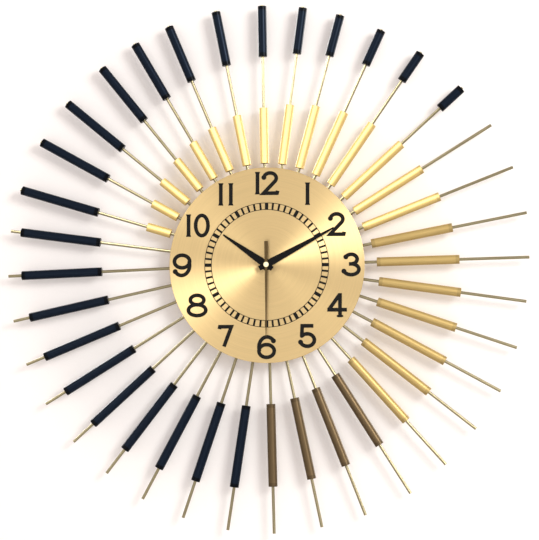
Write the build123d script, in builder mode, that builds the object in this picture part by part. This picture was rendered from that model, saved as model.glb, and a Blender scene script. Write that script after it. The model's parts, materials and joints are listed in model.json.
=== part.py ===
"""Sunburst wall clock: a brushed metal dial on a wire frame of radiating sleeved spokes,
with a quartz hand movement behind it. Millimetres, +Z up, the dial faces -Y.

The origin is the centre of the keyhole in the hanger plate, on the wall plane. Everything
is drawn on planes parallel to the wall: `on_wall(depth)` is the plane that many millimetres
into the room, with its own x to the right, y up and its origin on the hands' axis.
"""

import os
from math import cos, radians, sin

from build123d import *

os.makedirs("parts", exist_ok=True)

# ---------------------------------------------------------------- driving dimensions

OVERALL_R = 350.0  # spoke tips from the hands' axis
HANGER_ABOVE_AXIS = 86.0  # the keyhole's centre over the hands' axis
FIT = 0.05  # radial clearance of every turning fit

# Depths are measured from the wall into the room.
SPOKE_DEPTH = 16.0  # centre line of the spokes
BOARD_BACK = 20.0
BOARD_T = 5.0
DIAL_T = 1.0
DIAL_BACK = BOARD_BACK + BOARD_T
DIAL_FRONT = DIAL_BACK + DIAL_T
PRINT_T = 0.2

DIAL_R = 130.0
BOARD_R = 128.0

# Spokes
SPOKE_COUNT = 36
SPOKE_STEP = 360.0 / SPOKE_COUNT
FIRST_SPOKE = 8.5  # clockwise from twelve
ROD_R = 2.0
ROD_INNER_R = 64.0
# Spokes that were bent a little off the radius at the dial's rim, in degrees clockwise
SPOKE_LEAN = {0: -1, 1: -3.5, 2: -4, 3: -4, 4: -1, 5: -0.5, 7: 0.5, 9: -0.5, 12: -0.5, 13: -0.5, 14: -1}
SPOKE_LEAN.update({16: -0.5, 20: -0.5, 21: -1, 22: -1, 23: -0.5, 24: -1, 25: -1, 26: -1, 27: -1})
SPOKE_LEAN.update({28: -2, 29: 0.5, 30: 1, 31: 2.5, 32: 1, 33: -1.5, 35: 0.5})
# Spokes cut a little longer or shorter than OVERALL_R
SPOKE_PAST = {8: -3.5, 9: -4.5, 10: -3, 13: 3, 14: 5.5, 15: 4.5, 16: 3.5, 17: 5, 18: 4.5, 19: 3, 20: 2}

# Sleeves: equal tubes threaded on the spokes along a spiral of a little over one turn.
# It climbs slowly on the right and below, and faster at the top, where two turns overlap.
SLEEVE_R = 6.0
SLEEVE_WALL = 0.8
SLEEVE_LENGTH = 109.0
SLEEVE_EDGE = 0.3
PLUG_T = 3.0
FIRST_SLOW, LAST_SLOW = 5, 27  # places that climb by the slow step
SLOW_START_R = 133.0  # inner end of the sleeve at the first slow place
SLOW_STEP = 4.27
FAST_START_R = 239.0  # inner end of the sleeve just past the last slow place
FAST_STEP = 5.9
SLEEVE_GAP = 69.5  # between the two sleeves of one spoke
SLEEVE_INNER_LIMIT = 136.5  # sleeves are cut short here, clear of the dial
SLEEVE_OUTER_LIMIT = 348.5  # and here, short of the spoke's tip

# Frame behind the dial
HOOP_WIRE_R = 2.5
INNER_HOOP_R = 70.0
OUTER_HOOP_R = 112.0
WELD = 0.2  # how far welded pieces sink into each other
SOFT_EDGE = 0.8  # rounding of pressed and moulded edges
SHARP_EDGE = 0.4  # chamfer of thin plates
STRAP_ANGLES = (53.5, 143.5, 233.5, 323.5)
STRAP_WIDTH = 14.0
STRAP_T = 2.0
STRAP_SPAN = (64.0, 118.0)
STRAP_CORNER_R = 3.0
SCREW_RADIUS_AT = 91.0  # where the dial screws sit on the straps
SCREW_R = 2.0
SCREW_HEAD_R = 3.75
SCREW_HEAD_T = 2.6
SCREW_BITE = 4.0
SCREW_CROSS = (4.4, 0.9)  # length and width of each slot of the cross
SCREW_CROSS_T = 1.3
SPACER_R = 4.0
SPACER_BORE_R = 2.2
BUMPER_R = 6.0
BUMPER_AT = 110.0

# Hanger plate: a strip joggled back to the wall, with a keyhole
HANGER_WIDTH = 24.0
HANGER_T = 1.5
HANGER_FOOT = 9.0
KEYHOLE_R = 4.75
KEYHOLE_SLOT_R = 2.4
KEYHOLE_RISE = 11.0

# Movement case
CASE_SIDE = 56.0
CASE_T = 16.0
CASE_WALL = 1.5
COVER_T = 1.5
CASE_CORNER_R = 3.0
RUBBER_T = 0.8
CASE_BACK = BOARD_BACK - RUBBER_T - CASE_T
CASE_FLOOR = CASE_BACK + CASE_WALL
COVER_BACK = BOARD_BACK - RUBBER_T - COVER_T
WORKS_BOTTOM = -10.4  # floor of the works, over the wall of the battery bay
BATTERY_R = 7.1
BATTERY_LENGTH = 49.5
BATTERY_NUB_R = 2.7
BATTERY_NUB = 1.0
BATTERY_EDGE = 0.5
CONTACT_T = 0.4
CONTACT_GAP = 0.3
CONTACT_SIZE = (10.0, 9.0)
CONTACT_BUMP_R = 3.0

# Centre shafts
BUSHING_R = 4.0
BUSHING_FLANGE_R = 6.0
BUSHING_FLANGE_T = 0.8
BUSHING_FRONT = 29.4
HOUR_PIPE_R = 2.5
MINUTE_PIPE_R = 1.7
SECONDS_ARBOR_R = 0.5
HOUR_PIPE_FRONT = 31.0
MINUTE_PIPE_FRONT = 33.4
SECONDS_ARBOR_FRONT = 35.6
PIVOT_R = 0.5

# Layers of the works: the back face of each gear
GEAR_T = 1.0
PINION_T = 1.4
PINION_LEAD = 0.2  # how far a pinion reaches behind the gear it drives
LAYER_INTERMEDIATE = CASE_FLOOR + 1.1
LAYER_SECONDS = CASE_FLOOR + 2.7
LAYER_THIRD = CASE_FLOOR + 4.3
LAYER_CENTRE = CASE_FLOOR + 5.9
BRIDGE_BACK = CASE_FLOOR + 7.5
BRIDGE_T = 1.0
BRIDGE_SIZE = (37.0, 24.0)
BRIDGE_XY = (0.5, 2.0)
BRIDGE_CORNER_R = 2.0
LAYER_MOTION = CASE_FLOOR + 8.9
LAYER_HOUR = CASE_FLOOR + 10.7
MOTION_PINION_T = 1.2
MOTION_PINION_LEAD = 0.1

# Trains: (driver teeth, driven teeth) and the spacing of their shafts
ROTOR_TEETH, INTERMEDIATE_TEETH = 10, 60
INTERMEDIATE_PINION, SECONDS_TEETH = 10, 50
SECONDS_PINION, THIRD_TEETH = 8, 60
THIRD_PINION, CENTRE_TEETH = 8, 64
CANNON_TEETH, MOTION_TEETH = 12, 36
MOTION_PINION, HOUR_TEETH = 10, 40
ROTOR_SPACING = 8.75
INTERMEDIATE_SPACING = 9.0
THIRD_SPACING = 9.0
MOTION_SPACING = 9.6

# Teeth: reach over and under the pitch circle in modules, half widths in pitches
TOOTH_TIP, TOOTH_ROOT = 0.7, 1.0
TOOTH_TIP_HALF, TOOTH_ROOT_HALF = 0.12, 0.29

# Directions of the shafts, anticlockwise from three o'clock
INTERMEDIATE_AT = 10.0
ROTOR_AT = 45.0  # seen from the intermediate wheel
THIRD_AT = 165.0
MOTION_AT = 90.0

# Works: posts on the case floor, bearings, stepping motor and circuit board
BOSS_R = 1.4
BOSS_T = 0.7
PIVOT_BACK = CASE_FLOOR - 0.3
PIVOT_FRONT = BRIDGE_BACK + BRIDGE_T - 0.1
MOTION_ARBOR_R = 1.0
POST_R = 1.4
BRIDGE_POSTS = ((-16.0, -8.4), (16.0, -8.4), (-15.0, 12.5))
CORE_POSTS = ((-4.5, 21.5), (17.5, 21.5))
BOARD_POSTS = ((-23.0, 17.0), (-10.0, 23.0))
CORE_BACK = CASE_FLOOR + 3.3
CORE_T = 0.8
CORE_WIDTH = 3.0
CORE_MIDDLE = 6.5
CORE_LENGTH = 25.0
STATOR_GAP = 0.4  # between the stator and the magnet
# Bars of the stator: middle and size of each
STATOR_BARS = (
    ((15.3, 7.8), (7.4, 7.2)),
    ((17.5, 17.0), (CORE_WIDTH, 12.0)),
    ((4.3, 12.7), (20.6, CORE_WIDTH)),
    ((-4.5, 17.1), (CORE_WIDTH, 11.8)),
)
COIL_Y = 21.5
COIL_LEFT = -1.0
COIL_LENGTH = 15.0
BOBBIN_R = 2.0
WINDING_R = 3.2
FLANGE_R = 3.6
FLANGE_T = 1.0
MAGNET_R = 2.5
MAGNET_BACK = CASE_FLOOR + 3.3
MAGNET_T = 2.4
CIRCUIT_BACK = CASE_FLOOR + 1.5
CIRCUIT_T = 1.0
CIRCUIT_XY = (-16.5, 20.0)
CIRCUIT_SIZE = (17.0, 10.0)
CHIP_SIZE = (5.0, 4.0)
CHIP_T = 1.2
CHIP_SHIFT = -3.5  # from the middle of the board
CRYSTAL_SHIFT = (4.5, -3.0)
CRYSTAL_R = 1.0
CRYSTAL_LENGTH = 6.0
CLUTCH_R = 2.5
CLUTCH_T = 0.2
CLUTCH_SPRING_R = 3.5
CLUTCH_SPRING_T = 0.3
CLUTCH_GAP = 0.1
KNOB_BACK = 0.8
KNOB_T = 2.2
SETTING_KNOB_R = 5.0
KNURL_R = 0.8
KNURL_COUNT = 16
KNURL_OUT = 0.3  # centres of the knurls beyond the knob's edge

# Fastening of the movement on the dial
RUBBER_R = 14.0
BRASS_R = 6.5
BRASS_T = 0.5
NUT_FLATS = 12.0
NUT_T = 2.0

# Hands, at ten past ten or so
HOUR_HAND_AT = 304.8
MINUTE_HAND_AT = 61.5
SECOND_HAND_AT = 180.0
HAND_T = 0.6
HAND_HUB_R = 7.6
SECOND_HUB_R = 3.4
# Outline of each hand at its root, tip and tail: half width and distance from the axis
HOUR_HAND_SHAPE = ((4.8, 9.0), (1.1, 70.0), (3.2, 9.5))
MINUTE_HAND_SHAPE = ((4.8, 10.0), (1.0, 102.0), (3.2, 10.5))
SECOND_HAND_SHAPE = ((1.7, 6.0), (0.5, 95.0), (2.4, 31.0))
HOUR_HAND_BACK = 30.2
MINUTE_HAND_BACK = 32.4
SECOND_HAND_BACK = 34.5
CAP_R = 3.5
CAP_T = 2.2
CAP_EDGE = 1.2

# Dial print
NUMERAL_RADIUS = 109.0
NUMERAL_NUDGE = {2: -1.5, 3: 4, 4: -1.5, 8: -2, 9: 4, 10: -3}  # outwards, by hour
NUMERAL_HEIGHT = 32.0
NUMERAL_STROKE = 5.0
STRAIGHT_HEIGHT = 30.0  # figures without a curve are drawn a little lower
TRACK_INNER_R = 73.3
TRACK_OUTER_R = 83.0
TRACK_RAIL = 0.8
MINUTE_MARK = 2.7
HOUR_MARK = 4.6


# ---------------------------------------------------------------- helpers


def on_wall(depth):
    """The plane `depth` in front of the wall, centred on the hands' axis."""
    centre = (0, 0, -HANGER_ABOVE_AXIS)
    return Plane(origin=centre, x_dir=(1, 0, 0), z_dir=(0, -1, 0)).offset(depth)


def at_shaft(depth, centre):
    """on_wall(depth) with its origin moved to one of its points."""
    plane = on_wall(depth)
    return plane.shift_origin(plane.from_local_coords(centre))


def clock_point(angle, radius):
    """A point on a wall-parallel plane, by its clockwise angle from twelve."""
    return (radius * sin(radians(angle)), radius * cos(radians(angle)))


def polar_point(angle, radius):
    """A point on a wall-parallel plane, by its anticlockwise angle from three."""
    return (radius * cos(radians(angle)), radius * sin(radians(angle)))


def clock_plane(angle, depth):
    """on_wall(depth) turned so that its y axis points at `angle` clockwise from twelve."""
    right = (cos(radians(angle)), 0, -sin(radians(angle)))
    return Plane(origin=on_wall(depth).origin, x_dir=right, z_dir=(0, -1, 0))


def write_node(piece, name):
    """Label a finished piece and write it as one node."""
    piece.part.label = name
    export_step(piece.part, f"parts/{name}.step")


def gear_face(teeth, spacing, mate_teeth, phase=0.0):
    """Face of a spur gear whose centre is `spacing` from that of its mate.

    The teeth are stubby and narrow, with about a fifth of the pitch as backlash, so that
    the steps of a small plastic train run free. One tooth points at `phase`.
    """
    module = 2 * spacing / (teeth + mate_teeth)
    tip_r = module * (teeth / 2 + TOOTH_TIP)
    root_r = module * (teeth / 2 - TOOTH_ROOT)
    pitch = 360.0 / teeth
    outline = []
    for tooth in range(teeth):
        middle = phase + tooth * pitch
        outline.append(polar_point(middle - TOOTH_ROOT_HALF * pitch, root_r))
        outline.append(polar_point(middle - TOOTH_TIP_HALF * pitch, tip_r))
        outline.append(polar_point(middle + TOOTH_TIP_HALF * pitch, tip_r))
        outline.append(polar_point(middle + TOOTH_ROOT_HALF * pitch, root_r))
    with BuildSketch() as face:
        with BuildLine():
            Polyline(*outline, close=True)
        make_face()
    return face.sketch


def mesh_phase(driver_teeth, driver_phase, driven_teeth, direction):
    """Phase of a driven gear that lies at `direction` from its driver, in mesh with it."""
    turned = (driver_phase - direction) * driver_teeth / driven_teeth
    return direction + 180.0 + 180.0 / driven_teeth - turned


def round_step(plane, radius, length, bore=0.0, mode=Mode.ADD):
    """Add one cylinder or tube, standing on `plane`, to the piece being built."""
    with BuildSketch(plane) as section:
        Circle(radius)
        if bore:
            Circle(bore, mode=Mode.SUBTRACT)
    extrude(section.sketch, amount=length, mode=mode)


def gear_step(plane, face, thickness, bore=0.0):
    """Add one toothed layer, standing on `plane`, to the piece being built."""
    with BuildSketch(plane) as section:
        add(face)
        if bore:
            Circle(bore, mode=Mode.SUBTRACT)
    extrude(section.sketch, amount=thickness)


# ---------------------------------------------------------------- spokes and sleeves


def spoke_plane(spoke, radius):
    """Plane square to a spoke, facing outwards, at about `radius` from the hands' axis."""
    angle = FIRST_SPOKE + spoke * SPOKE_STEP
    heading = radians(angle + SPOKE_LEAN.get(spoke, 0))
    rim_x, rim_z = clock_point(angle, DIAL_R)
    along = radius - DIAL_R
    origin = (
        rim_x + along * sin(heading),
        -SPOKE_DEPTH,
        rim_z + along * cos(heading) - HANGER_ABOVE_AXIS,
    )
    return Plane(origin=origin, x_dir=(0, -1, 0), z_dir=(sin(heading), 0, cos(heading)))


def sleeve_ends(place):
    """Inner and outer radius of the sleeve at a place on the spiral, cut to its limits."""
    if place > LAST_SLOW:
        inner = FAST_START_R + FAST_STEP * (place - LAST_SLOW - 1)
    elif place >= FIRST_SLOW:
        inner = SLOW_START_R + SLOW_STEP * (place - FIRST_SLOW)
    else:
        beyond = sleeve_ends(place + SPOKE_COUNT)[0]
        inner = beyond - SLEEVE_GAP - SLEEVE_LENGTH
    return max(inner, SLEEVE_INNER_LIMIT), min(inner + SLEEVE_LENGTH, SLEEVE_OUTER_LIMIT)


SPOKE_GROUPS = {
    "spokes_upper_right": range(0, 9),
    "spokes_lower_right": range(9, 18),
    "spokes_lower_left": range(18, 27),
    "spokes_upper_left": range(27, 36),
}

for name, spokes in SPOKE_GROUPS.items():
    with BuildPart() as rods:
        for spoke in spokes:
            tip = OVERALL_R + SPOKE_PAST.get(spoke, 0)
            round_step(spoke_plane(spoke, ROD_INNER_R), ROD_R, tip - ROD_INNER_R)
    write_node(rods, name)

# Places on the spiral run outwards and clockwise; a place's spoke is its number modulo 36.
SLEEVE_GROUPS = {
    "gold_sleeves_left": range(-8, 0),
    "gold_sleeves_top": range(0, 7),
    "gold_sleeves_right": range(7, 14),
    "bronze_sleeves": range(14, 18),
    "navy_sleeves_bottom": range(18, 26),
    "navy_sleeves_left": range(26, 33),
    "navy_sleeves_top": range(33, 41),
}

for name, places in SLEEVE_GROUPS.items():
    with BuildPart() as sleeves:
        for place in places:
            inner, outer = sleeve_ends(place)
            plane = spoke_plane(place % SPOKE_COUNT, inner)
            round_step(plane, SLEEVE_R, outer - inner, SLEEVE_R - SLEEVE_WALL)
        rims = sleeves.edges().filter_by(GeomType.CIRCLE).filter_by(lambda e: e.radius > SLEEVE_R - 0.1)
        chamfer(rims, SLEEVE_EDGE)
    write_node(sleeves, name)

PLUG_GROUPS = {
    "gold_end_plugs": range(-8, 14),
    "bronze_end_plugs": range(14, 18),
    "navy_end_plugs": range(18, 41),
}

for name, places in PLUG_GROUPS.items():
    with BuildPart() as plugs:
        for place in places:
            inner, outer = sleeve_ends(place)
            for start in (inner, outer - PLUG_T):
                plane = spoke_plane(place % SPOKE_COUNT, start)
                round_step(plane, SLEEVE_R - SLEEVE_WALL, PLUG_T, ROD_R)
    write_node(plugs, name)

# ---------------------------------------------------------------- frame behind the dial

HOOP_DEPTH = SPOKE_DEPTH - ROD_R - HOOP_WIRE_R + WELD
HOOP_BACK = HOOP_DEPTH - HOOP_WIRE_R
STRAP_BACK = HOOP_BACK + WELD - STRAP_T

for name, hoop_r in (("inner_hoop", INNER_HOOP_R), ("outer_hoop", OUTER_HOOP_R)):
    with BuildPart() as hoop:
        side = Plane(origin=(0, 0, -HANGER_ABOVE_AXIS), x_dir=(1, 0, 0), z_dir=(0, 0, 1))
        with BuildSketch(side):
            with Locations((hoop_r, -HOOP_DEPTH)):
                Circle(HOOP_WIRE_R)
        revolve(axis=Axis((0, 0, -HANGER_ABOVE_AXIS), (0, 1, 0)))
    write_node(hoop, name)

with BuildPart() as mounting_straps:
    for angle in STRAP_ANGLES:
        with BuildSketch(clock_plane(angle, STRAP_BACK)):
            with Locations((0, sum(STRAP_SPAN) / 2)):
                RectangleRounded(STRAP_WIDTH, STRAP_SPAN[1] - STRAP_SPAN[0], STRAP_CORNER_R)
            with Locations((0, SCREW_RADIUS_AT)):
                Circle(SPACER_BORE_R, mode=Mode.SUBTRACT)
        extrude(amount=STRAP_T)
write_node(mounting_straps, "mounting_straps")

with BuildPart() as dial_spacers:
    for angle in STRAP_ANGLES:
        with BuildSketch(clock_plane(angle, STRAP_BACK + STRAP_T)):
            with Locations((0, SCREW_RADIUS_AT)):
                Circle(SPACER_R)
                Circle(SPACER_BORE_R, mode=Mode.SUBTRACT)
        extrude(amount=BOARD_BACK - STRAP_BACK - STRAP_T)
write_node(dial_spacers, "dial_spacers")

with BuildPart() as dial_screws:
    for angle in STRAP_ANGLES:
        with BuildSketch(clock_plane(angle, STRAP_BACK - SCREW_HEAD_T)):
            with Locations((0, SCREW_RADIUS_AT)):
                Circle(SCREW_HEAD_R)
        extrude(amount=SCREW_HEAD_T)
        with BuildSketch(clock_plane(angle, STRAP_BACK)):
            with Locations((0, SCREW_RADIUS_AT)):
                Circle(SCREW_R)
        extrude(amount=BOARD_BACK + SCREW_BITE - STRAP_BACK)
        for turn in (0, 90):
            with BuildSketch(clock_plane(angle, STRAP_BACK - SCREW_HEAD_T)):
                with Locations((0, SCREW_RADIUS_AT)):
                    Rectangle(*SCREW_CROSS, rotation=turn)
            extrude(amount=SCREW_CROSS_T, mode=Mode.SUBTRACT)
    fillet(dial_screws.edges().group_by(Axis.Y)[-1].filter_by(GeomType.CIRCLE), SOFT_EDGE)
write_node(dial_screws, "dial_screws")

with BuildPart() as wall_bumpers:
    for angle in STRAP_ANGLES:
        with BuildSketch(clock_plane(angle, 0)):
            with Locations((0, BUMPER_AT)):
                Circle(BUMPER_R)
        extrude(amount=STRAP_BACK)
    chamfer(wall_bumpers.edges().group_by(Axis.Y)[-1], SOFT_EDGE)
write_node(wall_bumpers, "wall_bumpers")

with BuildPart() as hanger_plate:
    low, high = STRAP_SPAN
    foot_back = HOOP_BACK + WELD - HANGER_T
    profile_plane = Plane(origin=(0, 0, -HANGER_ABOVE_AXIS), x_dir=(0, -1, 0), z_dir=(-1, 0, 0))
    with BuildSketch(profile_plane):
        with BuildLine():
            Polyline(
                (foot_back, low),
                (foot_back + HANGER_T, low),
                (foot_back + HANGER_T, low + HANGER_FOOT + HANGER_T),
                (HANGER_T, low + HANGER_FOOT + HANGER_T),
                (HANGER_T, high - HANGER_FOOT - HANGER_T),
                (foot_back + HANGER_T, high - HANGER_FOOT - HANGER_T),
                (foot_back + HANGER_T, high),
                (foot_back, high),
                (foot_back, high - HANGER_FOOT),
                (0, high - HANGER_FOOT),
                (0, low + HANGER_FOOT),
                (foot_back, low + HANGER_FOOT),
                close=True,
            )
        make_face()
    extrude(amount=HANGER_WIDTH / 2, both=True)
    with BuildSketch(on_wall(0)):
        with Locations((0, HANGER_ABOVE_AXIS)):
            Circle(KEYHOLE_R)
        with Locations((0, HANGER_ABOVE_AXIS + KEYHOLE_RISE / 2)):
            SlotCenterToCenter(KEYHOLE_RISE, 2 * KEYHOLE_SLOT_R, rotation=90)
    extrude(amount=HANGER_T, mode=Mode.SUBTRACT)
write_node(hanger_plate, "hanger_plate")

# ---------------------------------------------------------------- dial

with BuildPart() as dial_board:
    round_step(on_wall(BOARD_BACK), BOARD_R, BOARD_T, BUSHING_R)
    for angle in STRAP_ANGLES:
        with BuildSketch(clock_plane(angle, BOARD_BACK)):
            with Locations((0, SCREW_RADIUS_AT)):
                Circle(SCREW_R)
        extrude(amount=SCREW_BITE, mode=Mode.SUBTRACT)
write_node(dial_board, "dial_board")

with BuildPart() as dial_plate:
    round_step(on_wall(DIAL_BACK), DIAL_R, DIAL_T, BUSHING_R)
    chamfer(dial_plate.edges().group_by(Axis.Y)[0].sort_by(SortBy.LENGTH)[-1], SHARP_EDGE)
write_node(dial_plate, "dial_plate")

with BuildPart() as minute_track:
    with BuildSketch(on_wall(DIAL_FRONT)):
        Circle(TRACK_OUTER_R)
        Circle(TRACK_OUTER_R - TRACK_RAIL, mode=Mode.SUBTRACT)
        Circle(TRACK_INNER_R + TRACK_RAIL)
        Circle(TRACK_INNER_R, mode=Mode.SUBTRACT)
        middle_r = (TRACK_INNER_R + TRACK_OUTER_R) / 2
        bar = TRACK_OUTER_R - TRACK_INNER_R - TRACK_RAIL
        with PolarLocations(middle_r, 60):
            Rectangle(bar, MINUTE_MARK)
        with PolarLocations(middle_r, 12):
            Rectangle(bar, HOUR_MARK)
    extrude(amount=PRINT_T)
write_node(minute_track, "minute_track")

# Numerals: one even stroke with round ends where it curls in. Each figure is drawn on its
# own centre, `TOP` and `-TOP` being the stroke's highest and lowest centre line.
TOP = (NUMERAL_HEIGHT - NUMERAL_STROKE) / 2
KNOB_R = 0.66 * NUMERAL_STROKE


def figure_one():
    """A bar that flares into a small foot at both ends."""
    half, foot = NUMERAL_STROKE / 2, 0.7 * NUMERAL_STROKE
    height = STRAIGHT_HEIGHT / 2
    with BuildSketch() as figure:
        Rectangle(NUMERAL_STROKE, STRAIGHT_HEIGHT)
        for end in (-height, height):
            with BuildLine():
                Polyline((-foot, end), (foot, end), (half, end * 0.8), (-half, end * 0.8), close=True)
            make_face()
    return figure.sketch


def figure_two():
    """A round hook, a straight diagonal and a flat base with its end turned up."""
    hook_x, hook_y = 8.3, 6.9
    with BuildSketch() as figure:
        with BuildLine():
            hook = EllipticalCenterArc((0, TOP - hook_y), hook_x, hook_y, -42, arc_size=214)
        trace(line_width=NUMERAL_STROKE)
        with BuildLine():
            Polyline(hook @ 0, (-8.6, -TOP), (9.4, -TOP), (10.2, -TOP + 3.2))
        trace(line_width=NUMERAL_STROKE)
        with Locations(hook @ 0):
            Circle(NUMERAL_STROKE / 2)
        with Locations(hook @ 1):
            Circle(KNOB_R)
    return figure.sketch


def figure_three():
    """Two open bowls, the lower one larger."""
    waist = 0.8
    upper_y, lower_y = (TOP - waist) / 2, (TOP + waist) / 2
    with BuildSketch() as figure:
        with BuildLine():
            upper = EllipticalCenterArc((-0.8, TOP - upper_y), 7.9, upper_y, -90, arc_size=242)
        trace(line_width=NUMERAL_STROKE)
        with BuildLine():
            lower = EllipticalCenterArc((-0.8, -TOP + lower_y), 10.2, lower_y, -160, arc_size=250)
        trace(line_width=NUMERAL_STROKE)
        with Locations(upper @ 1, lower @ 0):
            Circle(KNOB_R)
        with Locations((-1.8, waist)):
            Rectangle(4.0, NUMERAL_STROKE)
    return figure.sketch


def figure_four():
    """An upright with a long diagonal, a crossbar and a small foot."""
    stem_x, bar_y = 4.2, -6.0
    with BuildSketch() as figure:
        with BuildLine():
            Line((stem_x - 0.6, TOP + 0.4), (-10.6, bar_y))
        trace(line_width=NUMERAL_STROKE)
        with Locations((stem_x, 0)):
            Rectangle(NUMERAL_STROKE, NUMERAL_HEIGHT)
        with Locations((0.4, bar_y)):
            Rectangle(26.0, NUMERAL_STROKE)
        with Locations((stem_x, -TOP - 0.8)):
            Rectangle(8.6, 2.7)
    return figure.sketch


def figure_five():
    """A flag, a short neck and one open bowl."""
    bowl_y = 8.2
    with BuildSketch() as figure:
        with BuildLine():
            bowl = EllipticalCenterArc((-0.6, -TOP + bowl_y), 9.4, bowl_y, -160, arc_size=300)
        trace(line_width=NUMERAL_STROKE)
        with BuildLine():
            Polyline((7.6, TOP), (-7.2, TOP), bowl @ 1)
        trace(line_width=NUMERAL_STROKE)
        with Locations(bowl @ 0):
            Circle(KNOB_R)
        with Locations(bowl @ 1):
            Circle(NUMERAL_STROKE / 2)
    return figure.sketch


def figure_six():
    """A closed bowl under a long tail that curls over to the right."""
    bowl_x, bowl_y = 10.2, 8.4
    half = NUMERAL_STROKE / 2
    with BuildSketch() as figure:
        Ellipse(bowl_x + half, bowl_y + half)
        Ellipse(bowl_x - half, bowl_y - half, mode=Mode.SUBTRACT)
    ring = figure.sketch.moved(Location((0, -TOP + bowl_y)))
    with BuildSketch() as tailed:
        add(ring)
        with BuildLine():
            tail = EllipticalCenterArc((0.6, 0), 10.8, TOP, 38, arc_size=167)
        trace(line_width=NUMERAL_STROKE)
        with Locations(tail @ 0):
            Circle(KNOB_R)
    return tailed.sketch


def figure_seven():
    """A flat bar with its left end turned down, and a leaning leg."""
    top = (STRAIGHT_HEIGHT - NUMERAL_STROKE) / 2
    with BuildSketch() as figure:
        with BuildLine():
            Polyline((-8.3, top - 3.2), (-7.7, top), (7.6, top), (-2.2, -top - 1.4))
        trace(line_width=NUMERAL_STROKE)
    return figure.sketch


def figure_eight():
    """Two closed bowls, the lower one wider."""
    waist = 1.0
    half = NUMERAL_STROKE / 2
    bowls = ((9.0, waist, TOP), (11.6, -TOP, waist))
    with BuildSketch() as figure:
        for wide, low, high in bowls:
            with Locations((0, (low + high) / 2)):
                Ellipse(wide + half, (high - low) / 2 + half)
        for wide, low, high in bowls:
            with Locations((0, (low + high) / 2)):
                Ellipse(wide - half, (high - low) / 2 - half, mode=Mode.SUBTRACT)
    return figure.sketch


def figure_nought():
    """A tall closed oval."""
    wide = 8.3
    half = NUMERAL_STROKE / 2
    with BuildSketch() as figure:
        Ellipse(wide + half, TOP + half)
        Ellipse(wide - half, TOP - half, mode=Mode.SUBTRACT)
    return figure.sketch


one = figure_one()
six = figure_six()
nine = six.rotate(Axis.Z, 180)
# For each hour, its figures and how far each stands from the numeral's centre
NUMERALS = {
    1: [(one, 0)],
    2: [(figure_two(), 0)],
    3: [(figure_three(), 0)],
    4: [(figure_four(), 0)],
    5: [(figure_five(), 0)],
    6: [(six, 0)],
    7: [(figure_seven(), 0)],
    8: [(figure_eight(), 0)],
    9: [(nine, 0)],
    10: [(one, -12.6), (figure_nought(), 5.2)],
    11: [(one, -6.7), (one, 6.7)],
    12: [(one, -12.2), (figure_two(), 4.6)],
}

with BuildPart() as numerals:
    with BuildSketch(on_wall(DIAL_FRONT)):
        for hour, figures in NUMERALS.items():
            hour_x, hour_y = clock_point(30 * hour, NUMERAL_RADIUS + NUMERAL_NUDGE.get(hour, 0))
            for figure, shift in figures:
                with Locations((hour_x + shift, hour_y)):
                    add(figure)
    extrude(amount=PRINT_T)
write_node(numerals, "numerals")

# ---------------------------------------------------------------- movement case

intermediate_xy = polar_point(INTERMEDIATE_AT, INTERMEDIATE_SPACING)
rotor_step = polar_point(ROTOR_AT, ROTOR_SPACING)
rotor_xy = (intermediate_xy[0] + rotor_step[0], intermediate_xy[1] + rotor_step[1])
third_xy = polar_point(THIRD_AT, THIRD_SPACING)
motion_xy = polar_point(MOTION_AT, MOTION_SPACING)

case_inside = CASE_SIDE - 2 * CASE_WALL
works_top = case_inside / 2
bay_top = WORKS_BOTTOM - CASE_WALL
bay_height = bay_top + case_inside / 2
battery_y = bay_top - bay_height / 2

with BuildPart() as movement_case:
    with BuildSketch(on_wall(CASE_BACK)):
        RectangleRounded(CASE_SIDE, CASE_SIDE, CASE_CORNER_R)
    extrude(amount=COVER_BACK - CASE_BACK)
    fillet(movement_case.faces().sort_by(Axis.Y)[-1].edges(), SOFT_EDGE)
    with BuildSketch(on_wall(CASE_FLOOR)):
        with Locations((0, (works_top + WORKS_BOTTOM) / 2)):
            Rectangle(case_inside, works_top - WORKS_BOTTOM)
    extrude(amount=CASE_T, mode=Mode.SUBTRACT)
    with BuildSketch(on_wall(CASE_BACK)):
        with Locations((0, battery_y)):
            Rectangle(case_inside, bay_height)
    extrude(amount=CASE_T, mode=Mode.SUBTRACT)
    with BuildSketch(on_wall(CASE_FLOOR)):
        with Locations((0, 0), intermediate_xy, rotor_xy, third_xy):
            Circle(BOSS_R)
    extrude(amount=BOSS_T)
    for posts, top in ((BRIDGE_POSTS, BRIDGE_BACK), (CORE_POSTS, CORE_BACK), (BOARD_POSTS, CIRCUIT_BACK)):
        with BuildSketch(on_wall(CASE_FLOOR)):
            with Locations(*posts):
                Circle(POST_R)
        extrude(amount=top - CASE_FLOOR)
    with BuildSketch(on_wall(PIVOT_BACK - FIT)):
        with Locations((0, 0), intermediate_xy, rotor_xy, third_xy):
            Circle(PIVOT_R + FIT)
    extrude(amount=BOSS_T + CASE_WALL, mode=Mode.SUBTRACT)
    with BuildSketch(on_wall(CASE_BACK)):
        with Locations(motion_xy):
            Circle(MOTION_ARBOR_R + FIT)
    extrude(amount=CASE_WALL, mode=Mode.SUBTRACT)
write_node(movement_case, "movement_case")

with BuildPart() as movement_cover:
    with BuildSketch(on_wall(COVER_BACK)):
        RectangleRounded(CASE_SIDE, CASE_SIDE, CASE_CORNER_R)
        Circle(BUSHING_R, mode=Mode.SUBTRACT)
    extrude(amount=COVER_T)
write_node(movement_cover, "movement_cover")

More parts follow.
